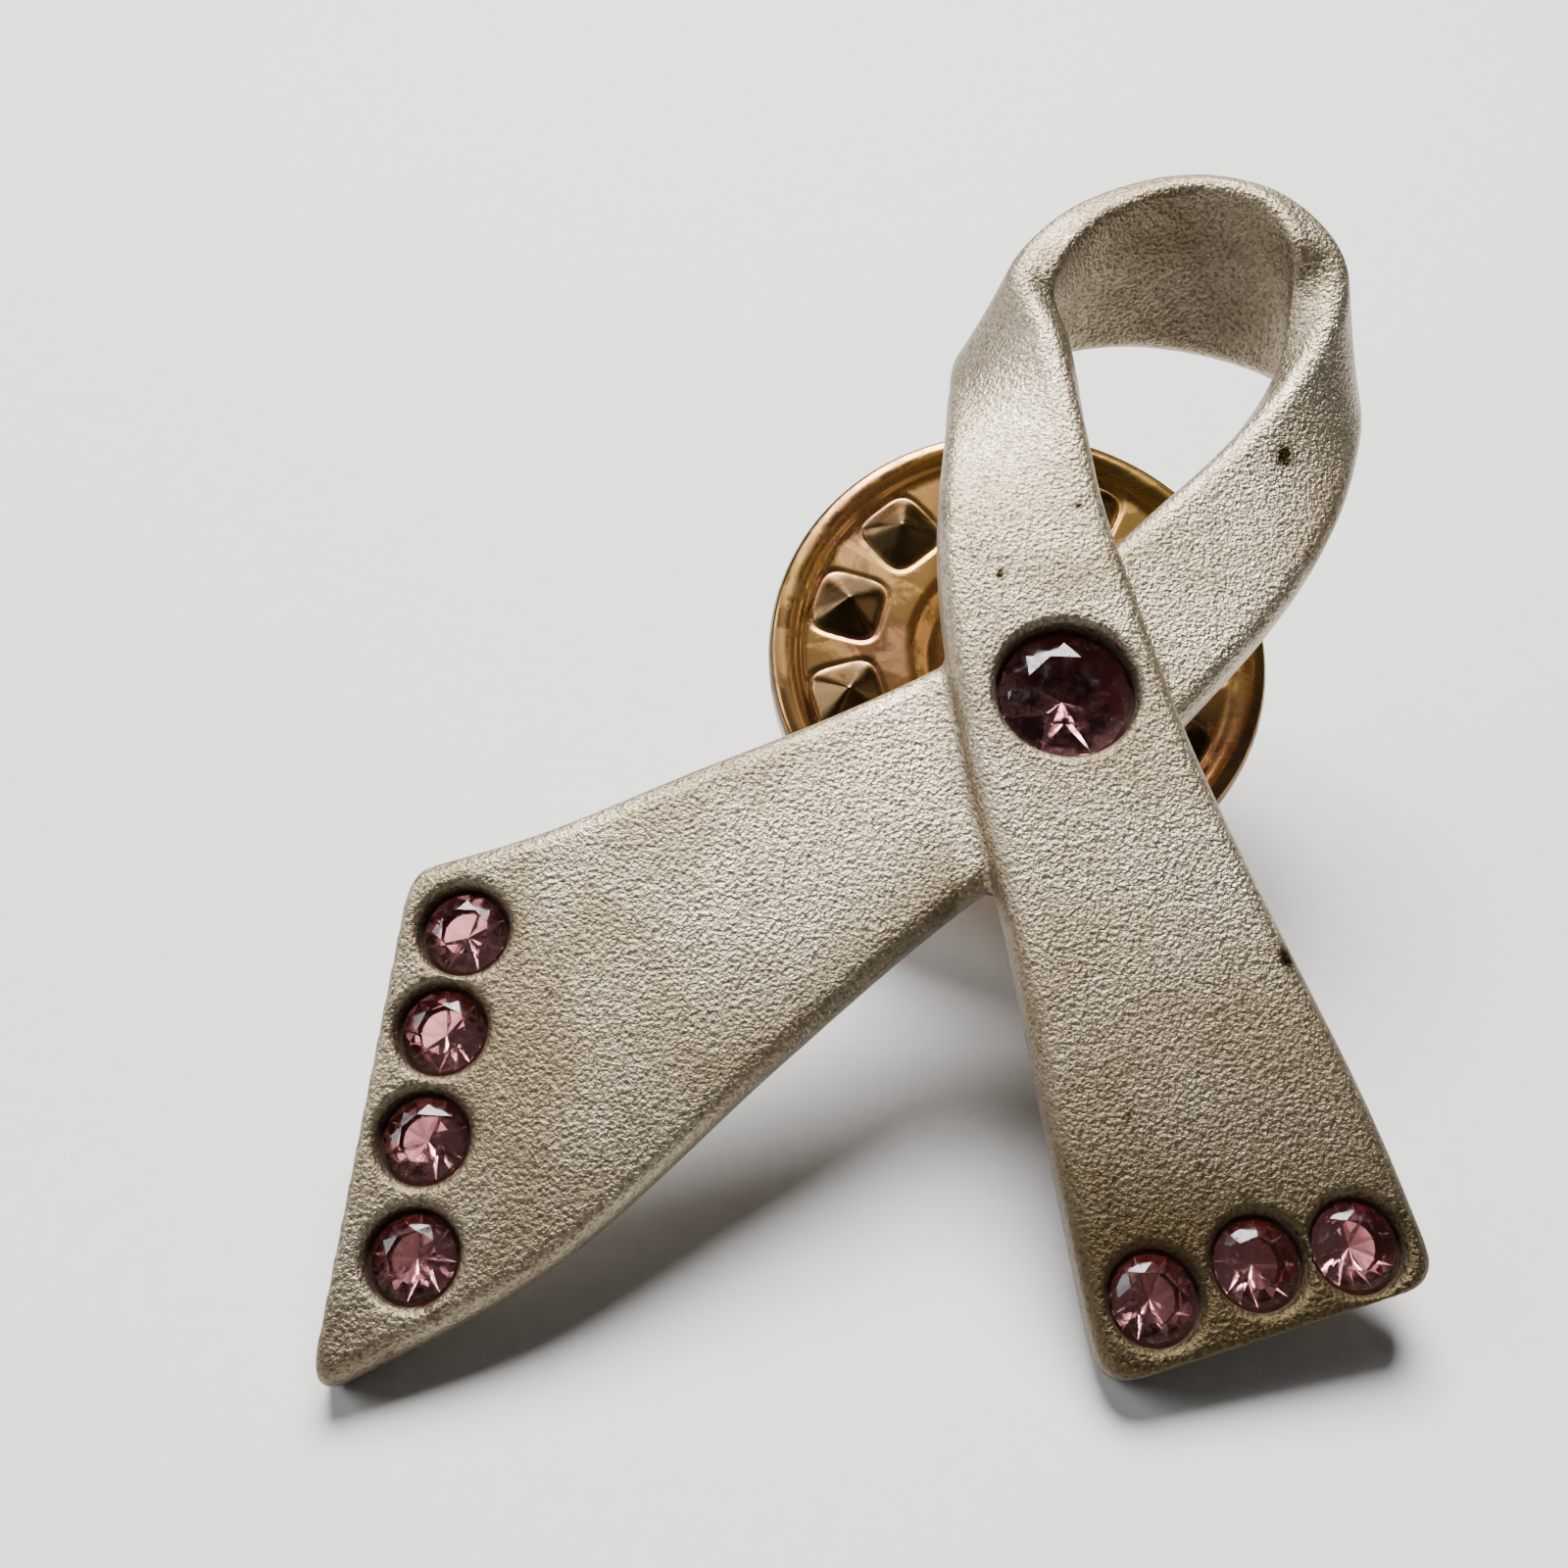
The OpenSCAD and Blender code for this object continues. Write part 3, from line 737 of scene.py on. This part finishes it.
def castMaterial():
    look = castLook
    material, tree, shader = newMaterial("sandblastedCasting", Metallic=1.0)
    grain = useGroup(tree, groups["grain"], **{"Grain Size": 13000.0, "Depth": 0.00007, "Strength": 0.85})
    cloud = useGroup(tree, groups["tarnish"], **{"Patch Size": 210.0, "Amount": 0.52, "Softness": 0.16})
    speck = useGroup(tree, groups["tarnish"], **{"Patch Size": 1900.0, "Amount": 0.36, "Softness": 0.06})
    wear = useGroup(tree, groups["wear"])
    tone = mixColor(tree, cloud.outputs["Mask"], look["bright"], look["dull"])
    # painted shade: the ribbon's 'shade' attribute pulls the tone towards brown and strengthens the tarnish speckles on
    # the next lines
    tone = mixColor(tree, mathNode(tree, "MULTIPLY", attribute(tree, "shade"), 0.92), tone, look["brownStainAndShade"])
    tone = mixColor(tree, mathNode(tree, "MULTIPLY", speck.outputs["Mask"],
                                   mathNode(tree, "ADD", 0.18, attribute(tree, "shade"))), tone, look["brownStainAndShade"])
    tone = mixColor(tree, mathNode(tree, "MULTIPLY", wear.outputs["Hollow"], 0.85), tone, look["brownStainAndShade"])
    tone = mixColor(tree, attribute(tree, "plain"), tone, look["smoothEdge"])
    grainShade = ramp(tree, grain.outputs["Grain"], [(0.38, grey(0.3)), (0.58, grey(1.0))])
    tone = mixColor(tree, 0.62, tone, grainShade, "MULTIPLY")
    ragged = mathNode(tree, "ADD", attribute(tree, "spot"),
                      mathNode(tree, "MULTIPLY", mathNode(tree, "SUBTRACT", speck.outputs["Mask"], 0.5), 0.5))
    halo = mathNode(tree, "MULTIPLY", mathNode(tree, "SUBTRACT", ragged, 0.15), 1.6, clamp=True)
    tone = mixColor(tree, halo, tone, look["brownStainAndShade"])
    core = mathNode(tree, "MULTIPLY", mathNode(tree, "SUBTRACT", ragged, 0.55), 5.0, clamp=True)
    tone = mixColor(tree, core, tone, look["spot"])
    tree.links.new(tone, shader.inputs["Base Color"])
    rough = mathNode(tree, "ADD", 0.36, mathNode(tree, "MULTIPLY", cloud.outputs["Mask"], 0.12))
    rough = mathNode(tree, "ADD", rough, mathNode(tree, "MULTIPLY", attribute(tree, "shade"), 0.12))
    tree.links.new(rough, shader.inputs["Roughness"])
    tree.links.new(grain.outputs["Normal"], shader.inputs["Normal"])
    return material


def brassMaterial(name, gold, copper, dark, patches):
    material, tree, shader = newMaterial(name, Metallic=1.0)
    cloud = useGroup(tree, groups["tarnish"], **{"Patch Size": patches, "Amount": 0.5, "Softness": 0.14})
    stain = useGroup(tree, groups["tarnish"], **{"Patch Size": patches * 2.7, "Amount": 0.42, "Softness": 0.1})
    grain = useGroup(tree, groups["grain"], **{"Grain Size": 5200.0, "Depth": 0.000008, "Strength": 0.3})
    wear = useGroup(tree, groups["wear"])
    tone = mixColor(tree, cloud.outputs["Mask"], gold, copper)
    tone = mixColor(tree, mathNode(tree, "MULTIPLY", stain.outputs["Mask"], 0.8), tone, dark)
    tone = mixColor(tree, mathNode(tree, "MULTIPLY", wear.outputs["Hollow"], 0.7), tone, dark)
    tone = mixColor(tree, mathNode(tree, "MULTIPLY", wear.outputs["Edge"], 0.35), tone, gold)
    # painted shade from the 'shade' attribute, which only the pressed disc carries
    tone = mixColor(tree, attribute(tree, "shade"), tone, dark)
    tree.links.new(tone, shader.inputs["Base Color"])
    rough = mathNode(tree, "ADD", 0.22, mathNode(tree, "MULTIPLY", stain.outputs["Mask"], 0.3))
    tree.links.new(rough, shader.inputs["Roughness"])
    tree.links.new(grain.outputs["Normal"], shader.inputs["Normal"])
    return material


def steelMaterial(name, clean, dull, rough):
    material, tree, shader = newMaterial(name, Metallic=1.0)
    cloud = useGroup(tree, groups["tarnish"], **{"Patch Size": 420.0, "Amount": 0.5, "Softness": 0.2})
    grain = useGroup(tree, groups["grain"], **{"Grain Size": 7000.0, "Depth": 0.000008, "Strength": 0.3})
    tree.links.new(mixColor(tree, cloud.outputs["Mask"], clean, dull), shader.inputs["Base Color"])
    tree.links.new(mathNode(tree, "ADD", rough, mathNode(tree, "MULTIPLY", cloud.outputs["Mask"], 0.2)),
                   shader.inputs["Roughness"])
    tree.links.new(grain.outputs["Normal"], shader.inputs["Normal"])
    return material


def glassMaterial():
    material, tree, shader = newMaterial("roseGlass", Metallic=0.0, Transmission_Weight=1.0, IOR=1.55)
    scratch = useGroup(tree, groups["tarnish"], **{"Patch Size": 2600.0, "Amount": 0.44, "Softness": 0.08})
    tone = mixColor(tree, scratch.outputs["Mask"], (0.84, 0.33, 0.35, 1), (0.70, 0.27, 0.29, 1))
    tree.links.new(tone, shader.inputs["Base Color"])
    rough = mathNode(tree, "ADD", 0.06, mathNode(tree, "MULTIPLY", scratch.outputs["Mask"], 0.22))
    tree.links.new(rough, shader.inputs["Roughness"])
    return material


def foilMaterial():
    material, tree, shader = newMaterial("roseFoil", Metallic=0.4)
    cloud = useGroup(tree, groups["tarnish"], **{"Patch Size": 1500.0, "Amount": 0.5, "Softness": 0.25})
    tone = mixColor(tree, cloud.outputs["Mask"], (0.95, 0.46, 0.38, 1), (0.66, 0.24, 0.24, 1))
    tree.links.new(tone, shader.inputs["Base Color"])
    tree.links.new(mathNode(tree, "ADD", 0.34, mathNode(tree, "MULTIPLY", cloud.outputs["Mask"], 0.2)),
                   shader.inputs["Roughness"])
    return material


def glueMaterial():
    material, tree, shader = newMaterial("agedAdhesive", Metallic=0.0)
    cloud = useGroup(tree, groups["tarnish"], **{"Patch Size": 1200.0, "Amount": 0.5, "Softness": 0.2})
    tone = mixColor(tree, cloud.outputs["Mask"], (0.12, 0.05, 0.035, 1), (0.03, 0.015, 0.01, 1))
    tree.links.new(tone, shader.inputs["Base Color"])
    tree.links.new(mathNode(tree, "ADD", 0.35, mathNode(tree, "MULTIPLY", cloud.outputs["Mask"], 0.25)),
                   shader.inputs["Roughness"])
    return material


def plateMaterial():
    material, tree, shader = newMaterial("palePlate", Metallic=0.0)
    speck = useGroup(tree, groups["grain"], **{"Grain Size": 2600.0, "Depth": 0.00003, "Strength": 0.25})
    tone = ramp(tree, speck.outputs["Grain"], [(0.2, grey(0.70)), (0.8, grey(0.76))])
    tree.links.new(tone, shader.inputs["Base Color"])
    tree.links.new(mathNode(tree, "ADD", 0.5, mathNode(tree, "MULTIPLY", speck.outputs["Grain"], 0.15)),
                   shader.inputs["Roughness"])
    tree.links.new(speck.outputs["Normal"], shader.inputs["Normal"])
    return material


materials = {
    "cast": castMaterial(),
    "disc": brassMaterial("agedDiscBrass", (0.62, 0.37, 0.09, 1), (0.42, 0.19, 0.10, 1), (0.055, 0.04, 0.02, 1), 260.0),
    "spring": brassMaterial("springBrass", (0.74, 0.52, 0.22, 1), (0.60, 0.38, 0.18, 1), (0.16, 0.10, 0.05, 1), 340.0),
    "rivet": brassMaterial("rivetBrass", (0.76, 0.54, 0.24, 1), (0.62, 0.40, 0.20, 1), (0.14, 0.09, 0.04, 1), 420.0),
    "steel": steelMaterial("platedSteel", (0.66, 0.63, 0.57, 1), (0.40, 0.36, 0.30, 1), 0.24),
    "solder": steelMaterial("softSolder", (0.50, 0.49, 0.46, 1), (0.26, 0.24, 0.21, 1), 0.45),
    "glass": glassMaterial(),
    "foil": foilMaterial(),
    "glue": glueMaterial(),
    "plate": plateMaterial(),
}
print("materials made:", len(materials))


def paint(obj, *names):
    obj.data.materials.clear()
    for name in names:
        obj.data.materials.append(materials[name])


# ---------------------------------------------------------------- shading values on the ribbon
pitsAndShadedEnd = {
    # u, v, w, radius in mm of the dark pits
    "pits": [(5.45, 3.0, -0.8, 0.26), (-0.95, -0.3, 0, 0.13), (0.75, 1.3, 0, 0.11), (4.1, -8.35, 0, 0.2)],
    # the right tail's end, where the painted shade is darkest
    "shadedTailEnd": (3.2, -15.2),
}


def shadeRibbon(obj):
    mesh = obj.data
    count = len(mesh.vertices)
    co = np.empty(count * 3)
    mesh.vertices.foreach_get("co", co)
    normal = np.empty(count * 3)
    mesh.vertices.foreach_get("normal", normal)
    back = np.array(headToWorld.inverted())
    local = co.reshape(-1, 3) @ back[:3, :3].T + back[:3, 3]
    facing = normal.reshape(-1, 3) @ np.array(faceNormal)
    u, v, w = local.T
    # painted shade: the right tail darkens towards its end, and the left tail only near its tip and along its lower
    # edge
    rightTail = (u > -1.6) & (v < -4.5)
    shade = np.where(rightTail, np.clip((-7.5 - v) / 6.0, 0, 1) ** 1.2, 0)
    leftTip = np.clip(1 - np.hypot(u + 13.4, v + 15.6) / 5.5, 0, 1)
    lowerEdge = np.where(u < -2, np.clip(1 - np.abs((v + 16.2) - (u + 13.7) * 0.78) / 2.2, 0, 1), 0)
    shade = np.maximum.reduce([shade, leftTip * 0.7, lowerEdge * 0.6])
    # painted shade inside each stone seat, fading out round its rim
    for row in stones.values():
        for at in row["at"]:
            ring = np.hypot(u - at[0], v - at[1]) - row["radius"] - seatGap
            shade = np.maximum(shade, np.exp(-np.clip(ring, 0, 9) / 0.22) * 0.75)
            shade = np.where(ring < 0.02, 1.0, shade)
    plain = np.clip((0.35 - facing) / 0.3, 0, 1) * 0.55
    plain = np.where(w < -2.2, plain * 0.5, plain)
    spot = np.zeros(count)
    for pu, pv, pw, r in pitsAndShadedEnd["pits"]:
        away = np.sqrt((u - pu) ** 2 + (v - pv) ** 2 + ((w - pw) * 0.5) ** 2)
        ragged = 1 + 0.2 * np.sin(2 * np.arctan2(v - pv, u - pu) + pu)
        spot = np.maximum(spot, np.clip(1.3 - 0.6 * away / (r * ragged), 0, 1))
    for name, values in (("shade", shade), ("plain", plain), ("spot", spot)):
        layer = mesh.attributes.new(name, "FLOAT", "POINT")
        layer.data.foreach_set("value", values.astype(np.float32))


# ---------------------------------------------------------------- build and mount everything
ribbon = castRibbon()
keepInside(ribbon, "ribbon")
shadeRibbon(ribbon)
paint(ribbon, "cast")
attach(ribbon, "head")
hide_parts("ribbon")

turnStep = 0.37
for side, row in stones.items():
    for i, at in enumerate(row["at"]):
        label = side if side == "centre" else f"{side}_{i + 1}"
        cadStone = "centre_stone" if side == "centre" else f"{side}_stone_{i + 1}"
        stone = cutStone(f"rhinestone_{label}", at, row["radius"], row["depth"], turnStep * (i + 1))
        paint(stone, "glass", "foil")
        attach(stone, "head")
        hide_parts(cadStone)
        paint(nodes[cadStone.replace("stone", "glue")], "glue")
print("stones set")

hardware = [
    (tackPost(), "head", "tack_post", "plated_steel", "steel"),
    (eyelet(), "clutch_slider", "clutch_eyelet", "brass_turned", "rivet"),
    (pressedDisc(), "clutch", "clutch_disc", "brass_pressed", "disc"),
    (jawBase(), "clutch", "jaw_base", "brass_spring", "spring"),
    (wingPiece("fingerWing_right", 0, 1), "right_wing", "wing_right", "brass_spring", "spring"),
    (wingPiece("fingerWing_left", 1, -1), "left_wing", "wing_left", "brass_spring", "spring"),
]
for piece, body, cadNode, slotName, look in hardware:
    keepInside(piece, cadNode)
    paint(piece, look)
    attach(piece, body)
    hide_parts(cadNode)
paint(nodes["solder_ring"], "solder")
print("hardware made:", len(hardware))

# ---------------------------------------------------------------- plate, light and camera
stageSet = {
    "plateRadius": 0.9,
    "key": {"at": (0.0, 0.12, 0.22), "size": 0.17, "watts": 2.0, "tint": (1.0, 0.985, 0.96)},
    "fill": {"at": (-0.22, 0.02, 0.16), "size": 0.16, "watts": 0.35, "tint": (0.95, 0.97, 1.0)},
    "sky": 0.08,
}
plate = lathe("palePlate", [(0.0005, 0), (stageSet["plateRadius"], 0), (stageSet["plateRadius"], 0.02),
                            (0.0005, 0.02)], 128)
paint(plate, "plate")


def softLight(name, at, size, watts, tint):
    data = bpy.data.lights.new(name, "AREA")
    data.shape = "DISK"
    data.size = size
    data.energy = watts
    data.color = tint
    obj = bpy.data.objects.new(name, data)
    obj.location = at
    obj.rotation_euler = (-Vector(at)).to_track_quat("-Z", "Y").to_euler()
    bpy.context.scene.collection.objects.link(obj)


for name in ("key", "fill"):
    softLight(name + "Light", **stageSet[name])
world = bpy.data.worlds.new("softRoom")
world.use_nodes = True
world.node_tree.nodes["Background"].inputs["Color"].default_value = (0.86, 0.87, 0.88, 1)
world.node_tree.nodes["Background"].inputs["Strength"].default_value = stageSet["sky"]
bpy.context.scene.world = world

discCentre = headToWorld @ Vector((0, 0, -disc["at"]))
camera = bpy.data.cameras.new("camera")
camera.lens = 38.25
camera.sensor_width = 36
camera.clip_start = 0.001
cameraObject = bpy.data.objects.new("camera", camera)
cameraObject.location = discCentre + Vector((-0.00539, -0.0314, 0.02223))
cameraObject.rotation_euler = (math.radians(50), 0, 0)
bpy.context.scene.collection.objects.link(cameraObject)
bpy.context.scene.camera = cameraObject
